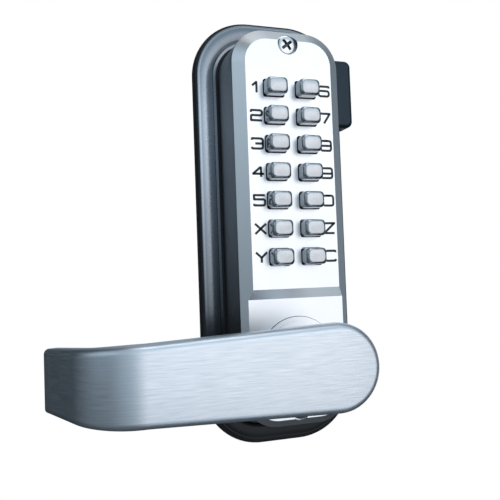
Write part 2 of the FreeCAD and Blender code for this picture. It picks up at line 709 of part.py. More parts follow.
def make_rose_ring():
    """A low stepped ring on the face around the neck."""
    return revolve("rose_ring", [
        ("rose_inner_radius", "lower_face_y"), ("rose_radius", "lower_face_y"),
        ("rose_radius", "rose_step_y"), ("rose_step_radius", "rose_step_y"),
        ("rose_step_radius", "rose_front_y"), ("rose_inner_radius", "rose_front_y")])


def make_drive_cam():
    """A disc on the hub's spigot, with a pin that lifts the code slide."""
    body = revolve("drive_cam", [
        ("spigot_radius", "cam_front_y"), ("cam_radius", "cam_front_y"), ("cam_radius", "cam_back_y"),
        ("cam_hub_radius", "cam_back_y"), ("cam_hub_radius", "cam_hub_back_y"), ("0", "cam_hub_back_y"),
        ("0", "cam_back_y"), ("spigot_radius", "cam_back_y")])
    document.recompute()
    pin = new_sketch(body, offset="cam_front_y")
    add_circle(pin, "drive_pin_x", "0", "drive_pin_radius")
    pad(body, pin, "drive_pin_front_y - cam_front_y")
    cut_square_hole(body, "cam_hub_back_y", "cam_back_y - cam_hub_back_y")
    return body


def make_spindle():
    body = new_body("spindle")
    section = new_sketch(body, offset="- spindle_reach")
    add_rectangle(section, "- spindle_half", "spindle_half", "- spindle_half", "spindle_half")
    pad(body, section, "spindle_reach + spindle_front_y")
    fillet(body, runs_along_y, "spindle_edge")
    return body


def make_return_spring():
    """The torsion spring that brings the lever back level."""
    wire = sheet.torsion_wire
    length = sheet.torsion_front_y - sheet.torsion_back_y - 2 * wire
    spring = coil(sheet.torsion_radius, wire, sheet.torsion_turns, length)
    leg = Part.makeCylinder(wire, sheet.torsion_leg, FreeCAD.Vector(sheet.torsion_radius, 0, 0),
                            FreeCAD.Vector(0, -1, 0))
    spring = spring.fuse(leg)
    back = FreeCAD.Vector(0, -sheet.torsion_back_y - wire, 0)
    feature = document.addObject("Part::Feature", "return_spring")
    feature.Shape = spring
    feature.Placement = FreeCAD.Placement(back, FreeCAD.Rotation(FreeCAD.Vector(1, 0, 0), 90))
    return feature


def make_grub_screw():
    body = new_body("grub_screw")
    thread = new_sketch(body, role="XY_Plane", offset="- grub_end_z")
    add_circle(thread, "0", "- grub_y", "grub_radius")
    pad(body, thread, "grub_end_z - grub_tip_z")
    socket = new_sketch(body, role="XY_Plane", offset="- grub_end_z")
    add_hexagon(socket, "grub_socket_radius", "grub_y")
    pocket(body, socket, "grub_socket_depth", reverse=True)
    return body


def add_hexagon(sketch, radius, centre_y):
    """A hexagon about (0, -centre_y)."""
    corners = []
    for turn in range(6):
        angle = math.tau * turn / 6
        corners.append(FreeCAD.Vector(number(radius) * math.cos(angle),
                                      number(radius) * math.sin(angle) - number(centre_y), 0))
    for start, end in zip(corners, corners[1:] + corners[:1]):
        sketch.addGeometry(Part.LineSegment(start, end))


# ---- fastenings and the side block ----------------------------------------------------------

def make_fixing_posts():
    """Two threaded posts: the case is screwed to their front, the door bolts enter their back."""
    body = new_body("fixing_posts")
    rods = new_sketch(body, offset="- post_reach")
    flanges = new_sketch(body, offset="case_back_y")
    threads = new_sketch(body, offset="- post_reach")
    tapped = new_sketch(body, offset="post_front_y")
    for height in POST_HEIGHTS:
        add_circle(rods, "0", height, "post_radius")
        add_circle(flanges, "0", height, "post_flange_radius")
        add_circle(threads, "0", height, "thread_radius")
        add_circle(tapped, "0", height, "face_screw_radius")
    pad(body, rods, "post_reach + post_front_y")
    pad(body, flanges, "post_flange_front_y - case_back_y")
    pocket(body, threads, "thread_depth", reverse=True)
    pocket(body, tapped, "post_front_y - face_screw_end_y + screw_gap")
    return body


def make_face_screws():
    """Two pan-head screws with cross recesses."""
    body = new_body("face_screws")
    for height, seat in zip(POST_HEIGHTS, ["seat_top_y", "seat_bottom_y"]):
        shank = new_sketch(body, offset="face_screw_end_y")
        add_circle(shank, "0", height, "face_screw_radius")
        pad(body, shank, seat + " - face_screw_end_y")
        head = new_sketch(body, offset=seat)
        add_circle(head, "0", height, "face_head_radius")
        pad(body, head, "face_head_height")
        arm = ("cross_half_length", "cross_half_width")
        for wide, tall in [arm, arm[::-1]]:
            cross = new_sketch(body, offset=seat + " + face_head_height")
            add_rectangle(cross, "- " + wide, wide, f"{height} - {tall}", f"{height} + {tall}")
            document.recompute()
            pocket(body, cross, "cross_depth")
    fillet(body, is_head_rim, "face_head_round")
    return body


def is_head_rim(edge):
    at_front = lies_at_y(edge, "seat_top_y + face_head_height")
    at_front = at_front or lies_at_y(edge, "seat_bottom_y + face_head_height")
    return at_front and edge.BoundBox.XLength > number("face_head_radius")


def make_side_block():
    """A moulded block that hooks over the plate's edge at the top of the lock edge."""
    body = new_body("side_block")
    section = new_sketch(body, role="XY_Plane", offset="block_bottom_z")
    add_polygon(section, [
        ("block_inner_x", "- block_front_y"), ("block_outer_x", "- block_front_y"),
        ("block_outer_x", "0"), ("block_leg_x", "0"),
        ("block_leg_x", "- block_step_y"), ("block_inner_x", "- block_step_y")])
    pad(body, section, "block_top_z - block_bottom_z")
    fillet(body, lambda edge: runs_along_y(edge) and is_outside_block(edge), "block_corner")
    fillet(body, lambda edge: lies_at_y(edge, "block_front_y"), "block_edge")
    return body


def is_outside_block(edge):
    return abs(edge.BoundBox.XMin - number("block_outer_x")) < TOUCHING


# ---- build, check and write -----------------------------------------------------------------

def main():
    nodes = [
        make_door_gasket(), make_base_plate(), make_front_housing(), make_chamber_body(),
        make_chamber_cover(), make_chamber_screws(), make_code_slide(), make_key_springs(),
        make_lever_handle(), make_lever_hub(), make_lever_bush(), make_thrust_washer(), make_circlip(),
        make_rose_ring(), make_drive_cam(), make_spindle(), make_return_spring(), make_grub_screw(),
        make_fixing_posts(), make_face_screws(), make_side_block()]
    for label, column, row in key_places():
        nodes.append(make_key(label, column, row))
        nodes.append(make_tumbler(label, column, row))
    document.recompute()
    for item in document.Objects:
        assert not {"Invalid", "Error"} & set(item.State), f"{item.Label} failed: {item.State}"
    for node in nodes:
        assert not node.Shape.isNull() and node.Shape.isValid(), f"{node.Label} has a bad shape"
    os.makedirs("parts", exist_ok=True)
    for node in nodes:
        node.Shape.exportStep(f"parts/{node.Label}.step")
        print(node.Label, len(node.Shape.Solids), round(node.Shape.Volume, 1))


main()
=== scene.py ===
import json
import math

import bmesh
import bpy
from mathutils import Matrix, Vector


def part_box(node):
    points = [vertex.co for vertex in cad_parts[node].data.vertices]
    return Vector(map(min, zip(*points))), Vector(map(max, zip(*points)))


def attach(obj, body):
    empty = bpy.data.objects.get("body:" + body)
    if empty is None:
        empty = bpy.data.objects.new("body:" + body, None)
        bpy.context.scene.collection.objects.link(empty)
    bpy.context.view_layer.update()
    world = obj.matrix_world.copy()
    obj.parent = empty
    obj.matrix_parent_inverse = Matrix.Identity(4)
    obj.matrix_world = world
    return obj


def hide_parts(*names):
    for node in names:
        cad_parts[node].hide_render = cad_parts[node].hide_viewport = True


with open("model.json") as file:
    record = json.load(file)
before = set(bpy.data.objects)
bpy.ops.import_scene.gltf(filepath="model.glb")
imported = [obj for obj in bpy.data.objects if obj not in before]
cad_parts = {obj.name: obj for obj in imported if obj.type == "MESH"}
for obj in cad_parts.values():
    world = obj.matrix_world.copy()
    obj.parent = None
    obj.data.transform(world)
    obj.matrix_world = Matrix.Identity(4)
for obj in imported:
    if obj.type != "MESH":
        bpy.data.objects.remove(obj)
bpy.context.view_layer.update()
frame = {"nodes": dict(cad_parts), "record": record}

MM = 0.001
nodes = frame["nodes"]


# ---- places taken from the frame ------------------------------------------------------------

case_low, case_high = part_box("front_housing")
lever_low, lever_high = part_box("lever_handle")
screws_low, screws_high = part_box("face_screws")
CASE_FRONT = case_low.y
CASE_CORNER = 15.0 * MM
LOWER_FACE_STEP = 1.4
KEY_NAMES = ["1", "2", "3", "4", "5", "x", "y", "6", "7", "8", "9", "0", "z", "c"]


# ---- materials ------------------------------------------------------------------------------

NOISE_LOW, NOISE_HIGH = 0.3, 0.7
BUMP_DEPTH = 0.02
COAT_ROUGHNESS = 0.08


def grain(tree_nodes, links, scale, detail, coordinates):
    """Noise in object or UV space; a small scale along one axis stretches it into brush marks."""
    place = tree_nodes.new("ShaderNodeTexCoord")
    mapping = tree_nodes.new("ShaderNodeMapping")
    mapping.inputs["Scale"].default_value = scale
    noise = tree_nodes.new("ShaderNodeTexNoise")
    noise.inputs["Scale"].default_value = 1.0
    noise.inputs["Detail"].default_value = detail
    links.new(place.outputs[coordinates], mapping.inputs["Vector"])
    links.new(mapping.outputs["Vector"], noise.inputs["Vector"])
    return noise.outputs["Fac"]


def map_range(tree_nodes, links, value, start, end, low, high, interpolation="LINEAR"):
    """Goes from low to high as the value goes from start to end."""
    node = tree_nodes.new("ShaderNodeMapRange")
    node.interpolation_type = interpolation
    for name, number in [("From Min", start), ("From Max", end), ("To Min", low), ("To Max", high)]:
        node.inputs[name].default_value = number
    links.new(value, node.inputs["Value"])
    return node.outputs["Result"]


def tint(tree_nodes, links, value, dark, light):
    """Mixes two colours by a value from 0 to 1."""
    node = tree_nodes.new("ShaderNodeMix")
    node.data_type = "RGBA"
    node.inputs["A"].default_value = (*dark, 1)
    node.inputs["B"].default_value = (*light, 1)
    links.new(value, node.inputs["Factor"])
    return node.outputs["Result"]


def finish_material(name, dark, light, metallic, roughness, fine, broad, bump, coat=0.0,
                    coordinates="Object", gleam=(1.0, 1.0, 1.0)):
    """A finish whose colour follows a broad noise and whose roughness and bump follow a fine one."""
    material = bpy.data.materials.new(name)
    material.use_nodes = True
    tree_nodes, links = material.node_tree.nodes, material.node_tree.links
    shader = tree_nodes["Principled BSDF"]
    shader.inputs["Metallic"].default_value = metallic
    shader.inputs["Specular Tint"].default_value = (*gleam, 1)
    shader.inputs["Coat Weight"].default_value = coat
    shader.inputs["Coat Roughness"].default_value = COAT_ROUGHNESS
    fine_noise = grain(tree_nodes, links, fine, 3.0, coordinates)
    broad_noise = grain(tree_nodes, links, broad, 2.0, coordinates)
    links.new(tint(tree_nodes, links, broad_noise, dark, light), shader.inputs["Base Color"])
    links.new(map_range(tree_nodes, links, fine_noise, NOISE_LOW, NOISE_HIGH, *roughness),
              shader.inputs["Roughness"])
    relief = tree_nodes.new("ShaderNodeBump")
    relief.inputs["Strength"].default_value = bump
    relief.inputs["Distance"].default_value = BUMP_DEPTH * MM
    links.new(fine_noise, relief.inputs["Height"])
    links.new(relief.outputs["Normal"], shader.inputs["Normal"])
    return material


def paint_shade(material, coordinates, axis, start, end, low_share):
    """Paints shade: multiplies a finish's colour by a share that rises to 1 along one axis of its
    coordinates.
    """
    tree_nodes, links = material.node_tree.nodes, material.node_tree.links
    base_colour = tree_nodes["Principled BSDF"].inputs["Base Color"]
    place = tree_nodes.new("ShaderNodeTexCoord")
    split = tree_nodes.new("ShaderNodeSeparateXYZ")
    links.new(place.outputs[coordinates], split.inputs["Vector"])
    share = map_range(tree_nodes, links, split.outputs[axis], start, end, low_share, 1.0, "SMOOTHSTEP")
    shade = tree_nodes.new("ShaderNodeMix")
    shade.data_type = "RGBA"
    shade.blend_type = "MULTIPLY"
    shade.inputs["Factor"].default_value = 1.0
    links.new(base_colour.links[0].from_socket, shade.inputs["A"])
    links.new(share, shade.inputs["B"])
    links.new(shade.outputs["Result"], base_colour)


def even(scale):
    """The same scale along all three axes."""
    return (scale, scale, scale)


FINISHES = {
    "case_satin": dict(
        dark=(0.86, 0.88, 0.91), light=(0.92, 0.93, 0.95), metallic=1.0, roughness=(0.30, 0.40),
        fine=even(2600), broad=even(60), bump=0.25),
    "key_satin": dict(
        dark=(0.44, 0.455, 0.48), light=(0.57, 0.585, 0.61), metallic=1.0, roughness=(0.16, 0.28),
        fine=even(1800), broad=even(220), bump=0.5),
    "lever_brushed": dict(
        dark=(0.61, 0.67, 0.74), light=(0.84, 0.875, 0.92), metallic=0.9, roughness=(0.30, 0.46),
        fine=(110, 2600, 1), broad=(60, 2100, 1), bump=0.6, coordinates="UV"),
    "lever_back": dict(
        dark=(0.74, 0.75, 0.77), light=(0.82, 0.83, 0.85), metallic=0.5, roughness=(0.48, 0.60),
        fine=even(1500), broad=even(60), bump=0.6),
    "lever_turned": dict(
        dark=(0.60, 0.63, 0.67), light=(0.70, 0.73, 0.77), metallic=1.0, roughness=(0.26, 0.40),
        fine=(300, 5200, 300), broad=(60, 700, 60), bump=0.5),
    "plate_gunmetal": dict(
        dark=(0.47, 0.53, 0.60), light=(0.52, 0.58, 0.66), metallic=0.9, roughness=(0.20, 0.28),
        fine=even(1500), broad=even(60), bump=0.15, coat=0.15),
    "gasket_rubber": dict(
        dark=(0.008, 0.008, 0.009), light=(0.016, 0.016, 0.018), metallic=0.0, roughness=(0.50, 0.72),
        fine=even(1200), broad=even(60), bump=0.6),
    "block_moulding": dict(
        dark=(0.006, 0.011, 0.018), light=(0.010, 0.017, 0.026), metallic=0.0, roughness=(0.30, 0.42),
        fine=even(2200), broad=even(60), bump=0.5, gleam=(0.62, 0.82, 1.0)),
    # Painted shade: a near-black finish put in the plate's groove, on its outer wall and in the rose
    # ring's seam.
    "plate_painted_shade": dict(
        dark=(0.012, 0.014, 0.018), light=(0.022, 0.025, 0.031), metallic=0.2, roughness=(0.50, 0.70),
        fine=even(1200), broad=even(60), bump=0.3),
    # Painted shade: a dark finish put inside the screws' cross and all over the lower screw.
    "screw_painted_shade": dict(
        dark=(0.05, 0.055, 0.06), light=(0.12, 0.13, 0.14), metallic=0.6, roughness=(0.35, 0.50),
        fine=even(1500), broad=even(400), bump=0.4),
    "screw_chrome": dict(
        dark=(0.70, 0.71, 0.73), light=(0.82, 0.83, 0.85), metallic=1.0, roughness=(0.10, 0.20),
        fine=even(900), broad=even(300), bump=0.3),
    "inner_steel": dict(
        dark=(0.46, 0.47, 0.49), light=(0.58, 0.59, 0.60), metallic=1.0, roughness=(0.28, 0.42),
        fine=(1500, 400, 1500), broad=even(150), bump=0.5),
    "spring_steel": dict(
        dark=(0.36, 0.37, 0.39), light=(0.46, 0.47, 0.49), metallic=1.0, roughness=(0.22, 0.34),
        fine=even(2400), broad=even(200), bump=0.3),
    "chamber_alloy": dict(
        dark=(0.52, 0.53, 0.54), light=(0.64, 0.65, 0.66), metallic=1.0, roughness=(0.45, 0.62),
        fine=even(900), broad=even(120), bump=0.9),
    "inner_brass": dict(
        dark=(0.66, 0.48, 0.20), light=(0.78, 0.60, 0.30), metallic=1.0, roughness=(0.22, 0.36),
        fine=even(1600), broad=even(180), bump=0.4),
    "legend_ink": dict(
        dark=(0.012, 0.013, 0.016), light=(0.020, 0.021, 0.025), metallic=0.0, roughness=(0.38, 0.55),
        fine=even(2400), broad=even(60), bump=0.3),
    "floor_paper": dict(
        dark=(0.80, 0.81, 0.82), light=(0.84, 0.85, 0.86), metallic=0.0, roughness=(0.85, 0.95),
        fine=even(300), broad=even(4), bump=0.1),
}


def make_materials():
    """All finishes, with painted shade: the case darker on its sides, the plate darker towards both ends.
    """
    materials = {name: finish_material(name, **finish) for name, finish in FINISHES.items()}
    # Painted shade: the case's side walls darker than its front, by the way they face.
    paint_shade(materials["case_satin"], "Normal", "Y", -0.2, -0.5, 0.45)
    # Painted shade: the plate darker towards its lower end, and by the next line towards its upper end.
    paint_shade(materials["plate_gunmetal"], "Object", "Z", -0.035, 0.145, 0.02)
    paint_shade(materials["plate_gunmetal"], "Object", "Z", 0.148, 0.100, 0.42)
    return materials


def give_cad_nodes_their_materials(materials):
    for entry in frame["record"]["subparts"]:
        for slot in nodes[entry["node"]].material_slots:
            slot.material = materials[entry["material_slot"]]


# ---- mesh helpers ---------------------------------------------------------------------------

SMOOTH_ANGLE = math.radians(32)
WELD_DISTANCE = 0.0005


def add_piece(name, vertices, faces, material, body, second_material=None, is_second=None):
    """A mesh object that rides on a body, smooth but for its real edges.

    Faces whose centre and normal pass the is_second test take the second material."""
    mesh = bpy.data.meshes.new(name)
    mesh.from_pydata(vertices, [], faces)
    tidy = bmesh.new()
    tidy.from_mesh(mesh)
    bmesh.ops.remove_doubles(tidy, verts=tidy.verts, dist=WELD_DISTANCE * MM)
    bmesh.ops.recalc_face_normals(tidy, faces=tidy.faces)
    tidy.to_mesh(mesh)
    tidy.free()
    mesh.polygons.foreach_set("use_smooth", [True] * len(mesh.polygons))
    mesh.set_sharp_from_angle(angle=SMOOTH_ANGLE)
    piece = bpy.data.objects.new(name, mesh)
    bpy.context.scene.collection.objects.link(piece)
    mesh.materials.append(material)
    if second_material:
        mesh.materials.append(second_material)
        for face in mesh.polygons:
            face.material_index = int(is_second(face.center, face.normal))
    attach(piece, body)
    return piece


def round_rectangle(low, high, radius, steps=10):
    """Outline points (x, z) of a rectangle with round corners, anticlockwise from the lower right."""
    points = []
    left, right = low[0] + radius, high[0] - radius
    bottom, top = low[1] + radius, high[1] - radius
    corners = [(right, bottom, -90), (right, top, 0), (left, top, 90), (left, bottom, 180)]
    for centre_x, centre_z, first in corners:
        for step in range(steps + 1):
            angle = math.radians(first + 90 * step / steps)
            points.append((centre_x + radius * math.cos(angle), centre_z + radius * math.sin(angle)))
    return points


def quarter_turn(steps):
    """Pairs (1 - cosine, 1 - sine) round a quarter of a circle, from (0, 1) to (1, 0)."""
    for step in range(steps + 1):
        angle = math.radians(90 * step / steps)
        yield 1 - math.cos(angle), 1 - math.sin(angle)


def curve(start, control, end, count):
    """Points of a curve that leaves its start towards the control point and ends coming from it."""
    start, control, end = Vector(start), Vector(control), Vector(end)
    points = []
    for index in range(count):
        t = index / (count - 1)
        points.append(start * (1 - t) ** 2 + control * 2 * t * (1 - t) + end * t ** 2)
    return points


def circle(centre_x, centre_z, radius, steps=64):
    return [(centre_x + radius * math.cos(math.tau * step / steps),
             centre_z + radius * math.sin(math.tau * step / steps)) for step in range(steps)]


def ring(outline, y):
    """An outline in the front view, placed at a depth."""
    return [(x, y, z) for x, z in outline]


def loft(rings, vertices, faces, close_first=True, close_last=True):
    """Skins a stack of rings that all have the same number of points."""
    base = len(vertices)
    count = len(rings[0])
    for points in rings:
        vertices.extend(points)
    for level in range(len(rings) - 1):
        for k in range(count):
            a, b = base + level * count + k, base + level * count + (k + 1) % count
            faces.append((a, b, b + count, a + count))
    if close_first:
        faces.append(tuple(range(base, base + count)))
    if close_last:
        last = base + (len(rings) - 1) * count
        faces.append(tuple(range(last, last + count)))


def fill_between(outer, holes, y, vertices, faces):
    """A flat sheet with holes, between outlines that lie at one depth."""
    sheet = bmesh.new()
    for outline in [outer] + holes:
        corners = [sheet.verts.new(point) for point in ring(outline, y)]
        for a, b in zip(corners, corners[1:] + corners[:1]):
            sheet.edges.new((a, b))
    bmesh.ops.triangle_fill(sheet, use_beauty=True, use_dissolve=False, edges=sheet.edges)
    sheet.verts.index_update()
    base = len(vertices)
    vertices.extend(tuple(vertex.co) for vertex in sheet.verts)
    faces.extend(tuple(base + vertex.index for vertex in face.verts) for face in sheet.faces)
    sheet.free()


# ---- base plate -----------------------------------------------------------------------------

# Across the frame, from the outer wall over a fine line and a flat dome to the groove at the case:
# how far outside the case, and how far in front of the door, in millimetres.
FRAME_PROFILE = [
    (11.2, 1.5),
    *curve((11.2, 2.05), (11.2, 3.2), (9.5, 3.56), 7),
    (9.15, 3.5),
    *curve((8.8, 3.56), (6.45, 4.02), (4.3, 3.6), 7),
    *curve((4.3, 3.6), (3.07, 3.36), (2.46, 2.6), 7)[1:],
    (1.3, 2.56),
    (0.44, 2.5),
    (0.44, 2.1),
]
WALL_FRONT = 3.4
WALL_OFFSET = 6.0
GROOVE_OFFSET = 1.2
PLATE_HOLE_RADIUS = 4.15
BUSH_HOLE_RADIUS = 12.0


def case_outline(offset):
    """The outline of the case, grown by an offset in millimetres."""
    grown = offset * MM
    low = (case_low.x - grown, case_low.z - grown)
    high = (case_high.x + grown, case_high.z + grown)
    return round_rectangle(low, high, CASE_CORNER + grown, steps=24)


def post_places():
    """Heights of the two screws and of the posts behind them."""
    head_radius = (screws_high.x - screws_low.x) / 2
    return screws_high.z - head_radius, screws_low.z + head_radius


def is_in_painted_shade(point, _normal):
    """Whether a point lies on the plate's outer wall or in the narrow groove beside the case, which take
    painted shade.
    """
    beyond_x = max(0.0, case_low.x + CASE_CORNER - point.x, point.x - case_high.x + CASE_CORNER)
    beyond_z = max(0.0, case_low.z + CASE_CORNER - point.z, point.z - case_high.z + CASE_CORNER)
    offset = (math.hypot(beyond_x, beyond_z) - CASE_CORNER) / MM
    on_outer_wall = offset > WALL_OFFSET and point.y > -WALL_FRONT * MM
    return on_outer_wall or offset < GROOVE_OFFSET


def make_base_plate(material, painted_shade_material):
    """A plate with a domed frame around a sunk floor; its outer wall and the groove at the case take
    painted shade.
    """
    vertices, faces = [], []
    frame_rings = [ring(case_outline(offset), -y * MM) for offset, y in FRAME_PROFILE]
    loft(frame_rings, vertices, faces, False, False)
    holes = [circle(0, height, PLATE_HOLE_RADIUS * MM) for height in post_places()]
    holes.append(circle(0, 0, BUSH_HOLE_RADIUS * MM))
    back, floor = -FRAME_PROFILE[0][1] * MM, -FRAME_PROFILE[-1][1] * MM
    fill_between(case_outline(FRAME_PROFILE[0][0]), holes, back, vertices, faces)
    fill_between(case_outline(FRAME_PROFILE[-1][0]), holes, floor, vertices, faces)
    for hole in holes:
        loft([ring(hole, back), ring(hole, floor)], vertices, faces, False, False)
    plate = add_piece("domed_base_plate", vertices, faces, material, "lock_body", painted_shade_material,
                      is_in_painted_shade)
    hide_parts("base_plate")


# ---- keys -----------------------------------------------------------------------------------

KEY_HALF_WIDTH = 4.62
KEY_HALF_HEIGHT = 3.48
KEY_CORNER = 1.6
KEY_CORNER_OPENING = 0.45
KEY_FLANGE = 1.2
KEY_FLANGE_CORNER = 0.3
PILLOW_ROUND = 1.3
PILLOW_ROUND_DEPTH = 1.7
PILLOW_CROWN = 0.12
CROWN_STEPS = 6


def pillow_levels():
    """How far in from the key's sides, and how far behind its front, each ring of the pillow lies."""
    for inward, behind in quarter_turn(10):
        yield PILLOW_ROUND * inward, PILLOW_CROWN + PILLOW_ROUND_DEPTH * behind
    for step in range(1, CROWN_STEPS):
        share = step / CROWN_STEPS
        inset = PILLOW_ROUND + (KEY_HALF_HEIGHT - PILLOW_ROUND) * share
        yield inset, PILLOW_CROWN * (1 - share) ** 2


def key_outline(centre, inset):
    """The key's outline in the front view; its corners open out towards the front."""
    half = Vector((KEY_HALF_WIDTH - inset, KEY_HALF_HEIGHT - inset)) * MM
    radius = min((KEY_CORNER + KEY_CORNER_OPENING * inset) * MM, half.y * 0.98)
    return round_rectangle(centre - half, centre + half, radius, steps=8)


def make_key(name, material):
    """A pillow-shaped key on a flange that stops it behind the face."""
    low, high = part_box("key_" + name)
    centre = Vector(((low.x + high.x) / 2, (low.z + high.z) / 2))
    flange_front = high.y - KEY_FLANGE * MM
    flange = round_rectangle((low.x, low.z), (high.x, high.z), KEY_FLANGE_CORNER * MM, steps=8)
    rings = [ring(flange, high.y), ring(flange, flange_front), ring(key_outline(centre, 0), flange_front)]
    for inset, depth in pillow_levels():
        rings.append(ring(key_outline(centre, inset), low.y + depth * MM))
    vertices, faces = [], []
    loft(rings, vertices, faces)
    key = add_piece("pillow_key_" + name, vertices, faces, material, "button_" + name)
    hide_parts("key_" + name)


# ---- face screws ----------------------------------------------------------------------------

SCREW_SEAT_STEP = 0.5
SCREW_HEAD_HEIGHT = 1.9
SCREW_SHANK_RADIUS = 1.9
SCREW_DOME = 0.75
SCREW_DOME_POWER = 2.6
SCREW_TURNS, SCREW_LEVELS = 144, 34
CROSS_TURN = math.radians(38)
CROSS_HALF_WIDTH = 0.52
CROSS_HALF_LENGTH = 2.7
CROSS_DEPTH = 1.15
CROSS_WALL_SLOPE = 0.24
CROSS_END_SLOPE = 0.7
# Depth behind the dome, in millimetres, past which the cross takes painted shade.
CROSS_SHADE_DEPTH = 0.3


def dome_depth(radius, head_radius):
    """How far the domed head, without its cross, lies behind its highest point."""
    share = min(1.0, radius / head_radius)
    return SCREW_DOME * (1 - math.sqrt(1 - share ** SCREW_DOME_POWER))


def head_depth(radius, angle, head_radius):
    """How far the head's surface lies behind its highest point, in millimetres."""
    x, z = radius * math.cos(angle - CROSS_TURN), radius * math.sin(angle - CROSS_TURN)
    along, across = max(abs(x), abs(z)), min(abs(x), abs(z))
    wall = min(1.0, max(0.0, (CROSS_HALF_WIDTH - across) / CROSS_WALL_SLOPE + 0.5))
    reach = min(1.0, max(0.0, (CROSS_HALF_LENGTH - along) / CROSS_END_SLOPE))
    return dome_depth(radius, head_radius) + CROSS_DEPTH * wall * reach


def make_face_screw(name, centre_z, front_y, material, painted_shade_material):
    """A pan-head screw with a cross recess, its head a fine polar mesh; faces deep in the cross take
    painted shade.
    """
    head_radius = (screws_high.x - screws_low.x) / 2
    seat_y = front_y + SCREW_HEAD_HEIGHT * MM
    rings = []
    for level in range(1, SCREW_LEVELS + 1):
        radius = head_radius * level / SCREW_LEVELS
        points = []
        for x, z in circle(0, 0, radius, SCREW_TURNS):
            depth = head_depth(radius / MM, math.atan2(z, x), head_radius / MM)
            points.append((x, front_y + depth * MM, centre_z + z))
        rings.append(points)
    rings.append(ring(circle(0, centre_z, head_radius, SCREW_TURNS), seat_y))
    shank = circle(0, centre_z, SCREW_SHANK_RADIUS * MM, SCREW_TURNS)
    rings += [ring(shank, seat_y), ring(shank, screws_high.y)]
    vertices, faces = [], []
    loft(rings, vertices, faces)

    def is_in_cross(point, _normal):
        radius = math.hypot(point.x, point.z - centre_z) / MM
        depth = (point.y - front_y) / MM
        cross_top = dome_depth(radius, head_radius / MM) + CROSS_SHADE_DEPTH
        return cross_top < depth < SCREW_HEAD_HEIGHT - 0.1

    screw = add_piece(name, vertices, faces, material, "lock_body", painted_shade_material, is_in_cross)
    return screw


def make_face_screws(material, painted_shade_material):
    top_z, bottom_z = post_places()
    top = make_face_screw("face_screw_top", top_z, screws_low.y, material, painted_shade_material)
    # Painted shade: the lower screw takes the dark finish all over.
    make_face_screw("face_screw_bottom", bottom_z, screws_low.y + SCREW_SEAT_STEP * MM, painted_shade_material,
                    painted_shade_material)
    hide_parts("face_screws")


# ---- lever ----------------------------------------------------------------------------------

BLADE_THICKNESS = 8.0
BLADE_FRONT_ROUND = 2.8
BLADE_BACK_ROUND = 2.0
TIP_ROUND = 1.6
RIM_STEPS = 8
BEND_START = 70.0
BEND_RADIUS = 26.0
BEND_ANGLE = math.radians(66)
END_RUN = 23.2
END_RADIUS = (lever_high.z - lever_low.z) / 2 / MM
END_CENTRE = lever_high.x / MM - END_RADIUS
BEND_LENGTH = BEND_RADIUS * BEND_ANGLE
CREASE_AT = BEND_START + BEND_LENGTH
TIP_AT = CREASE_AT + END_RUN
EDGE_BOW = 0.3
# Half heights of the blade above and below its axis at the bend's start, the crease and the tip.
UPPER_EDGE = (13.5, 12.2, 10.9)
LOWER_EDGE = (14.6, 14.0, 12.8)
# How many steps the round end, the straight front, the bend and the end run are divided into.
END_STEPS, FRONT_STEPS, BEND_STEPS, RUN_STEPS = 20, 12, 28, 5


def edge_height(along, edge):
    """Half height of the blade at a distance from the lever's axis, measured along its front."""
    at_bend, at_crease, at_tip = edge
    if along <= -END_CENTRE:
        return math.sqrt(max(0.0, END_RADIUS ** 2 - (along + END_CENTRE) ** 2))
    if along <= BEND_START:
        share = (along + END_CENTRE) / (BEND_START + END_CENTRE)
        return END_RADIUS + (at_bend - END_RADIUS) * share
    if along <= CREASE_AT:
        share = math.sin((along - BEND_START) / BEND_RADIUS) / math.sin(BEND_ANGLE)
        return at_bend + (at_crease - at_bend) * share + 4 * EDGE_BOW * share * (1 - share)
    return at_crease + (at_tip - at_crease) * (along - CREASE_AT) / END_RUN


def on_blade(along, height, depth):
    """The place of a point of the blade: distance along its front, height, and depth behind it."""
    front = lever_low.y / MM
    turned = min(max(along - BEND_START, 0.0) / BEND_RADIUS, BEND_ANGLE)
    run = max(along - CREASE_AT, 0.0)
    if turned == 0.0:
        return (-along * MM, (front + depth) * MM, height * MM)
    radius = BEND_RADIUS - depth
    x = -BEND_START - radius * math.sin(turned) - run * math.cos(BEND_ANGLE)
    y = front + BEND_RADIUS - radius * math.cos(turned) + run * math.sin(BEND_ANGLE)
    return (x * MM, y * MM, height * MM)


def blade_stations():
    """Distances along the blade, from its round end to its tip, close together where it curves."""
    stations = [-END_CENTRE - END_RADIUS * (1 - inward) for inward, _ in quarter_turn(END_STEPS)]
    stretches = [(-END_CENTRE, BEND_START, FRONT_STEPS), (BEND_START, CREASE_AT, BEND_STEPS),
                 (CREASE_AT, TIP_AT, RUN_STEPS)]
    for start, end, steps in stretches:
        stations += [start + (end - start) * step / steps for step in range(1, steps + 1)]
    return stations


def blade_outline():
    """The blade's outline unrolled: upper edge from round end to tip, then lower edge back."""
    stations = blade_stations()
    upper = [Vector((along, edge_height(along, UPPER_EDGE))) for along in stations]
    lower = [Vector((along, -edge_height(along, LOWER_EDGE))) for along in stations[1:]]
    return upper + lower[::-1]


def inward_steps(outline):
    """For every outline point, the step that moves both edges beside it in by one unit."""
    steps = []
    for index, point in enumerate(outline):
        into = (point - outline[index - 1]).normalized()
        out = (outline[(index + 1) % len(outline)] - point).normalized()
        normal_in, normal_out = Vector((into.y, -into.x)), Vector((out.y, -out.x))
        middle = (normal_in + normal_out).normalized()
        steps.append(middle / max(middle.dot(normal_in), 0.5))
    return steps


def rim_levels():
    """Inset and depth of each ring round the blade's rim, from its front face to its back face."""
    for behind, inward in quarter_turn(RIM_STEPS):
        yield BLADE_FRONT_ROUND * inward, BLADE_FRONT_ROUND * behind
    for inward, before in quarter_turn(RIM_STEPS):
        yield BLADE_BACK_ROUND * inward, BLADE_THICKNESS - BLADE_BACK_ROUND * before


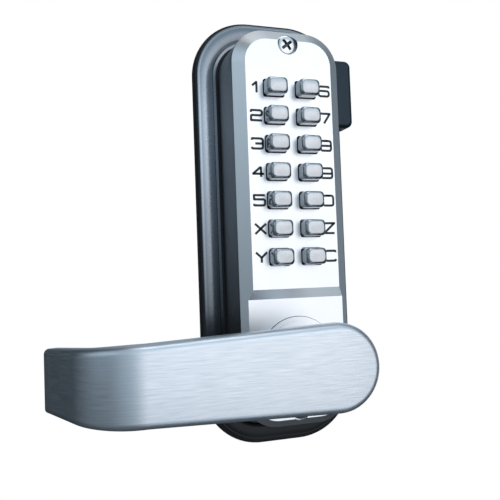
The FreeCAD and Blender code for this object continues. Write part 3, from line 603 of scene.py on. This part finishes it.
def blade_mesh():
    """Vertices and faces of the blade, and the place of every vertex in the brushed grain."""
    outline = blade_outline()
    inward = inward_steps(outline)
    count, upper_count = len(outline), len(blade_stations())
    rings, grain_places = [], []
    for inset, depth in rim_levels():
        points = []
        for index, (point, step) in enumerate(zip(outline, inward)):
            at_tip = point.x > TIP_AT - 0.01
            inset_along = inset * TIP_ROUND / BLADE_FRONT_ROUND if at_tip else inset
            along, height = point.x + step.x * inset_along, point.y + step.y * inset
            side = 1 if index < upper_count else -1
            points.append(on_blade(along, height, depth))
            grain_places.append((along * MM, (height + side * depth) * MM))
        rings.append(points)
    vertices, faces = [], []
    loft(rings, vertices, faces, False, False)
    for base in (0, (len(rings) - 1) * count):
        faces.append((base, base + 1, base + count - 1))
        for k in range(1, upper_count - 1):
            faces.append((base + k, base + k + 1, base + count - k - 1, base + count - k))
    return vertices, faces, grain_places


def is_blade_back(_point, normal):
    """Whether a face belongs to the side of the blade that is turned to the door."""
    return normal.y > 0.38 and normal.x > -0.1 and abs(normal.z) < 0.5


def make_lever_blade(material, back_material):
    """The blade: a flat bar with round rims, bent back towards the door at its free end."""
    vertices, faces, grain_places = blade_mesh()
    blade = add_piece("lever_blade", vertices, faces, material, "lever", back_material, is_blade_back)
    grain_map = blade.data.uv_layers.new(name="grain")
    for loop in blade.data.loops:
        grain_map.data[loop.index].uv = grain_places[loop.vertex_index]
    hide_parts("lever_handle")


NECK_RADIUS = 12.5
NECK_FLARE = 1.5
NECK_EDGE = 0.6
NECK_OVERLAP = 0.5


def make_lever_neck(material):
    """The round neck behind the blade, flared where it joins."""
    blade_back = lever_low.y + BLADE_THICKNESS * MM
    levels = [(NECK_RADIUS + NECK_FLARE, blade_back - NECK_OVERLAP * MM)]
    for behind, outward in quarter_turn(8):
        levels.append((NECK_RADIUS + NECK_FLARE * outward, blade_back + NECK_FLARE * behind * MM))
    levels += [(NECK_RADIUS, lever_high.y - NECK_EDGE * MM), (NECK_RADIUS - NECK_EDGE, lever_high.y)]
    vertices, faces = [], []
    loft([ring(circle(0, 0, radius * MM, 96), y) for radius, y in levels], vertices, faces)
    neck = add_piece("lever_neck", vertices, faces, material, "lever")


# ---- side block -----------------------------------------------------------------------------

BLOCK_CORNER = 3.0
BLOCK_CORNER_LOSS = 0.6
BLOCK_FRONT_ROUND = 1.9
BLOCK_STEP_Y = -4.0
BLOCK_LEG_X = 36.5


def make_side_block(material):
    """A block with soft front edges and a leg that hooks over the plate's edge."""
    low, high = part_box("side_block")

    def outline(inset):
        return round_rectangle((low.x + inset, low.z + inset), (high.x - inset, high.z - inset),
                               BLOCK_CORNER * MM - inset * BLOCK_CORNER_LOSS)

    leg = [(max(x, BLOCK_LEG_X * MM), z) for x, z in outline(0.0)]
    step_y = BLOCK_STEP_Y * MM
    rings = [ring(leg, high.y), ring(leg, step_y), ring(outline(0.0), step_y)]
    for inward, behind in quarter_turn(8):
        inset, depth = BLOCK_FRONT_ROUND * inward * MM, BLOCK_FRONT_ROUND * behind * MM
        rings.append(ring(outline(inset), low.y + depth))
    vertices, faces = [], []
    loft(rings, vertices, faces)
    block = add_piece("soft_side_block", vertices, faces, material, "lock_body")
    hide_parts("side_block")


# ---- rose ring ------------------------------------------------------------------------------

GAP_WIDTH = 0.22
GAP_LIFT = 0.02
GAP_STEPS = 128


def make_gap(name, radius, front_y, material):
    """A thin dark sheet around a circle: painted shadow in the seam where two round pieces meet."""
    inner = circle(0, 0, radius, GAP_STEPS)
    outer = circle(0, 0, radius + GAP_WIDTH * MM, GAP_STEPS)
    back_y = front_y + GAP_LIFT * MM
    section = [(inner, back_y), (inner, front_y), (outer, front_y), (outer, back_y), (inner, back_y)]
    vertices, faces = [], []
    loft([ring(outline, y) for outline, y in section], vertices, faces, False, False)
    add_piece(name, vertices, faces, material, "lock_body")


def make_rose_gap(material):
    rose_low, rose_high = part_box("rose_ring")
    lower_face_y = CASE_FRONT + LOWER_FACE_STEP * MM
    # Painted shadow in the seam around the rose ring.
    make_gap("rose_gap", (rose_high.x - rose_low.x) / 2, lower_face_y - GAP_LIFT * MM, material)


# ---- key legends ----------------------------------------------------------------------------

GLYPH_HALF_WIDTH = 2.45
GLYPH_HALF_HEIGHT = 2.15
STROKE_WIDTH = 1.0
INK_THICKNESS = 0.03
CORNER_RADIUS = 1.1
SHARP = 0.15
HOOK = 0.7
ARC_POINTS = 7
LEAST_STEP = 0.001
LEGEND_CENTRE_X = {"left": -15.5, "right": 16.1}
LEFT, RIGHT = -GLYPH_HALF_WIDTH, GLYPH_HALF_WIDTH
TOP, BOTTOM = GLYPH_HALF_HEIGHT, -GLYPH_HALF_HEIGHT

# Each legend is a list of strokes in millimetres, and each stroke a list of corners. A third
# number is the radius of a corner that isn't as round as the rest.
GLYPHS = {
    "1": [[(-1.5, 0.65), (0.45, TOP + 0.1, SHARP), (0.45, BOTTOM - 0.1)]],
    "2": [[(LEFT, TOP - 0.9), (LEFT, TOP), (RIGHT, TOP), (RIGHT, 0), (LEFT, 0, 0.6),
           (LEFT, BOTTOM, SHARP), (RIGHT, BOTTOM)]],
    "3": [[(LEFT, TOP - HOOK), (LEFT, TOP), (RIGHT, TOP), (RIGHT, BOTTOM), (LEFT, BOTTOM),
           (LEFT, BOTTOM + HOOK)],
          [(-1.0, 0), (RIGHT, 0)]],
    "4": [[(1.1, TOP), (LEFT, -0.8, SHARP), (RIGHT, -0.8)], [(1.1, TOP), (1.1, BOTTOM)]],
    "5": [[(RIGHT, TOP), (LEFT, TOP, SHARP), (LEFT, 0.4, SHARP), (RIGHT, 0.4), (RIGHT, BOTTOM),
           (LEFT, BOTTOM), (LEFT, BOTTOM + HOOK)]],
    "6": [[(RIGHT, TOP - HOOK), (RIGHT, TOP), (LEFT, TOP), (LEFT, BOTTOM), (RIGHT, BOTTOM),
           (RIGHT, 0.2), (LEFT, 0.2)]],
    "7": [[(LEFT, TOP), (RIGHT, TOP, SHARP), (-0.4, BOTTOM)]],
    "8": [[(0, TOP), (RIGHT, TOP), (RIGHT, BOTTOM), (LEFT, BOTTOM), (LEFT, TOP), (0, TOP)],
          [(LEFT, 0), (RIGHT, 0)]],
    "9": [[(RIGHT, -0.2), (LEFT, -0.2), (LEFT, TOP), (RIGHT, TOP), (RIGHT, BOTTOM),
           (LEFT, BOTTOM), (LEFT, BOTTOM + HOOK)]],
    "0": [[(0, TOP), (RIGHT, TOP), (RIGHT, BOTTOM), (LEFT, BOTTOM), (LEFT, TOP), (0, TOP)]],
    "x": [[(LEFT, TOP), (RIGHT, BOTTOM)], [(RIGHT, TOP), (LEFT, BOTTOM)]],
    "y": [[(LEFT, TOP), (0, -0.1, SHARP), (RIGHT, TOP)], [(0, -0.1), (0, BOTTOM)]],
    "z": [[(LEFT, TOP), (RIGHT, TOP, SHARP), (LEFT, BOTTOM, SHARP), (RIGHT, BOTTOM)]],
    "c": [[(RIGHT, TOP - HOOK), (RIGHT, TOP), (LEFT, TOP), (LEFT, BOTTOM), (RIGHT, BOTTOM),
           (RIGHT, BOTTOM + HOOK)]],
}


def rounded(stroke):
    """The stroke with a curve in place of every corner."""
    points = [Vector(point[:2]) for point in stroke]
    radii = [point[2] if len(point) > 2 else CORNER_RADIUS for point in stroke]
    path = [points[0]]
    for index in range(1, len(points) - 1):
        before, corner, after = points[index - 1:index + 2]
        room = 0.48 * min((before - corner).length, (after - corner).length)
        cut = min(radii[index], room)
        start = corner + (before - corner).normalized() * cut
        end = corner + (after - corner).normalized() * cut
        path += curve(start, corner, end, ARC_POINTS)
    path.append(points[-1])
    return [point for index, point in enumerate(path)
            if index == 0 or (point - path[index - 1]).length > LEAST_STEP]


def ribbon(stroke):
    """Left and right borders of a stroke of even width, mitred at its bends."""
    path = rounded(stroke)
    left, right = [], []
    for index, point in enumerate(path):
        ahead = (path[index + 1] - point).normalized() if index + 1 < len(path) else None
        behind = (point - path[index - 1]).normalized() if index > 0 else None
        along = ((ahead or behind) + (behind or ahead)).normalized()
        stretch = 1 / max(0.6, along.dot(ahead or behind))
        across = Vector((-along.y, along.x)) * (STROKE_WIDTH / 2 * stretch)
        left.append(point + across)
        right.append(point - across)
    return left, right


def make_legend(name, centre_x, centre_z, material):
    """Raised ink strokes on the face beside one key."""
    vertices, faces = [], []
    for stroke in GLYPHS[name]:
        left, right = ribbon(stroke)
        base = len(vertices)
        for pair in zip(left, right):
            for point in pair:
                x, z = centre_x + point.x * MM, centre_z + point.y * MM
                vertices += [(x, CASE_FRONT - INK_THICKNESS * MM, z), (x, CASE_FRONT, z)]
        for k in range(len(left) - 1):
            a, b = base + 4 * k, base + 4 * (k + 1)
            faces += [(a, b, b + 2, a + 2), (a + 1, b + 1, b, a), (a + 2, b + 2, b + 3, a + 3),
                      (a + 3, b + 3, b + 1, a + 1)]
        last = base + 4 * (len(left) - 1)
        faces += [(base, base + 2, base + 3, base + 1), (last + 1, last + 3, last + 2, last)]
    add_piece("legend_" + name, vertices, faces, material, "lock_body")


def make_legends(materials):
    for name in KEY_NAMES:
        low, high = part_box("key_" + name)
        side = "left" if low.x < 0 else "right"
        make_legend(name, LEGEND_CENTRE_X[side] * MM, (low.z + high.z) / 2, materials["legend_ink"])


# ---- stage, light and camera ----------------------------------------------------------------

CAMERA_PLACE = Vector((-0.10342, -0.27335, 0.03493))
CAMERA_FORWARD = Vector((0.31883, 0.94688, 0.04207))
CAMERA_UP = Vector((0.02095, -0.05142, 0.99846))
CAMERA_LENS = 45.14
FLOOR_Z = -0.45
FLOOR_RADIUS = 0.5
SOFTBOX_PLACE = Vector((0.04, -0.20, 0.60))
SOFTBOX_TARGET = Vector((0, -0.05, 0.03))
SOFTBOX_SIZE = (0.36, 0.25)
SOFTBOX_POWER = 0.4


def make_camera():
    data = bpy.data.cameras.new("camera")
    data.lens = CAMERA_LENS
    data.clip_start = 0.01
    camera = bpy.data.objects.new("camera", data)
    right = CAMERA_FORWARD.cross(CAMERA_UP).normalized()
    up = right.cross(CAMERA_FORWARD).normalized()
    turn = Matrix((right, up, -CAMERA_FORWARD.normalized())).transposed()
    camera.matrix_world = Matrix.Translation(CAMERA_PLACE) @ turn.to_4x4()
    bpy.context.scene.collection.objects.link(camera)
    bpy.context.scene.camera = camera


def make_floor(material):
    """A round pale table well below the lock, which the metal doesn't mirror."""
    mesh = bpy.data.meshes.new("floor")
    rim = [(x, y, FLOOR_Z) for x, y in circle(0, 0, FLOOR_RADIUS, 96)]
    mesh.from_pydata(rim, [], [tuple(range(len(rim)))])
    floor = bpy.data.objects.new("floor", mesh)
    bpy.context.scene.collection.objects.link(floor)
    floor.data.materials.append(material)
    floor.visible_glossy = False


def along(tree_nodes, links, direction):
    """How far the view into the studio points along a direction, from -1 to 1."""
    place = tree_nodes.new("ShaderNodeTexCoord")
    dot = tree_nodes.new("ShaderNodeVectorMath")
    dot.operation = "DOT_PRODUCT"
    dot.inputs[1].default_value = Vector(direction).normalized()
    links.new(place.outputs["Generated"], dot.inputs[0])
    return dot.outputs["Value"]


def add_values(tree_nodes, links, first, second):
    """The sum of a node's value and a plain number or another node's value."""
    node = tree_nodes.new("ShaderNodeMath")
    node.operation = "ADD"
    links.new(first, node.inputs[0])
    if isinstance(second, float):
        node.inputs[1].default_value = second
    else:
        links.new(second, node.inputs[1])
    return node.outputs["Value"]


# The studio's soft sources: direction, the cosines between which they fade in, and brightness.
SOURCES = [
    ((0.40, -0.915, -0.03), (0.78, 0.985), 1.25),
    ((0.30, -0.62, 0.72), (0.72, 0.98), 0.84),
    ((0.26, -0.69, -0.68), (0.965, 0.995), 0.90),
    ((-0.25, -0.965, 0.0), (0.80, 0.99), 0.34),
    ((-0.35, -0.80, 0.45), (0.80, 0.98), 0.24),
    ((-0.82, -0.28, 0.50), (0.78, 1.0), 0.58),
    ((-0.88, -0.45, -0.10), (0.35, 1.0), 0.125),
    ((0.88, 0.45, 0.05), (0.70, 0.97), 0.25),
    ((0.33, 0.60, 0.73), (0.78, 0.98), 0.50),
    ((0.2, 0.97, 0.1), (0.90, 0.99), 0.20),
    ((0.55, 0.80, 0.15), (0.86, 0.98), 0.60),
    ((0.0, -0.05, -1.0), (0.50, 0.95), 0.045),
]
STUDIO_DARK = 0.012
COOL_LIGHT = (0.70, 0.87, 1.0)
NEUTRAL_LIGHT = (0.95, 0.968, 1.0)


def make_world():
    """A studio with soft sources in front, beside and above, dark elsewhere, and a white backdrop."""
    world = bpy.data.worlds.new("studio")
    bpy.context.scene.world = world
    world.use_nodes = True
    tree_nodes, links = world.node_tree.nodes, world.node_tree.links
    glow = STUDIO_DARK
    for direction, fade, brightness in SOURCES:
        facing = along(tree_nodes, links, direction)
        lobe = map_range(tree_nodes, links, facing, *fade, 0.0, brightness, "SMOOTHSTEP")
        glow = add_values(tree_nodes, links, lobe, glow)
    studio = tree_nodes["Background"]
    front_direction, front_fade, _ = SOURCES[0]
    facing_front = along(tree_nodes, links, front_direction)
    in_front = map_range(tree_nodes, links, facing_front, *front_fade, 0.0, 1.0, "SMOOTHSTEP")
    links.new(tint(tree_nodes, links, in_front, COOL_LIGHT, NEUTRAL_LIGHT), studio.inputs["Color"])
    links.new(glow, studio.inputs["Strength"])
    backdrop = tree_nodes.new("ShaderNodeBackground")
    backdrop.inputs["Color"].default_value = (1.0, 1.0, 1.0, 1)
    ray = tree_nodes.new("ShaderNodeLightPath")
    choice = tree_nodes.new("ShaderNodeMixShader")
    links.new(ray.outputs["Is Camera Ray"], choice.inputs["Fac"])
    links.new(studio.outputs["Background"], choice.inputs[1])
    links.new(backdrop.outputs["Background"], choice.inputs[2])
    links.new(choice.outputs["Shader"], tree_nodes["World Output"].inputs["Surface"])


def make_softbox():
    """A soft rectangular light above and in front of the lock."""
    data = bpy.data.lights.new("top_softbox", "AREA")
    data.shape = "RECTANGLE"
    data.size, data.size_y = SOFTBOX_SIZE
    data.energy = SOFTBOX_POWER
    light = bpy.data.objects.new("top_softbox", data)
    light.location = SOFTBOX_PLACE
    light.rotation_mode = "QUATERNION"
    light.rotation_quaternion = (SOFTBOX_TARGET - SOFTBOX_PLACE).to_track_quat("-Z", "Y")
    bpy.context.scene.collection.objects.link(light)


def make_stage(materials):
    bpy.context.scene.view_settings.view_transform = "Standard"
    make_camera()
    make_floor(materials["floor_paper"])
    make_world()
    make_softbox()


materials = make_materials()
give_cad_nodes_their_materials(materials)
make_base_plate(materials["plate_gunmetal"], materials["plate_painted_shade"])
for key_name in KEY_NAMES:
    make_key(key_name, materials["key_satin"])
make_face_screws(materials["screw_chrome"], materials["screw_painted_shade"])
make_lever_blade(materials["lever_brushed"], materials["lever_back"])
make_lever_neck(materials["lever_turned"])
make_side_block(materials["block_moulding"])
make_rose_gap(materials["plate_painted_shade"])
make_legends(materials)
make_stage(materials)
